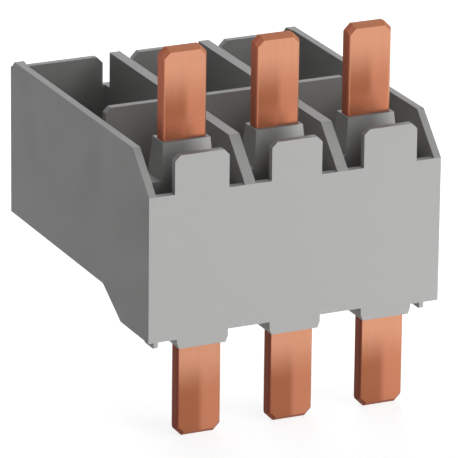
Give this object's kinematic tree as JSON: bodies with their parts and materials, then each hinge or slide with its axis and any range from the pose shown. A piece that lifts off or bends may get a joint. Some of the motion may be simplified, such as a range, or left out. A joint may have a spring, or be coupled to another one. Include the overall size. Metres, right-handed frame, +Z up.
{
  "type": "motor starter connecting link",
  "caption": "Moulded link block with flat copper bars that joins a motor starter's terminals to a contactor's, pole by pole.",
  "frame": {"origin": "on the front plate's outer face, at its lower edge, on the centre line of the middle pole", "axes": "+X across the poles to the right seen from the front, +Y from the front plate towards the back wall, +Z up along the bars towards the motor starter"},
  "size_m": [0.044, 0.0483, 0.054],
  "materials": {
    "housing_plastic": "moulded grey plastic with a fine matt texture",
    "copper": "bare rolled copper with a soft sheen"
  },
  "bodies": {
    "root": {"housing": "housing_plastic", "link_bar_left": "copper", "link_bar_middle": "copper", "link_bar_right": "copper"}
  },
  "joints": []
}
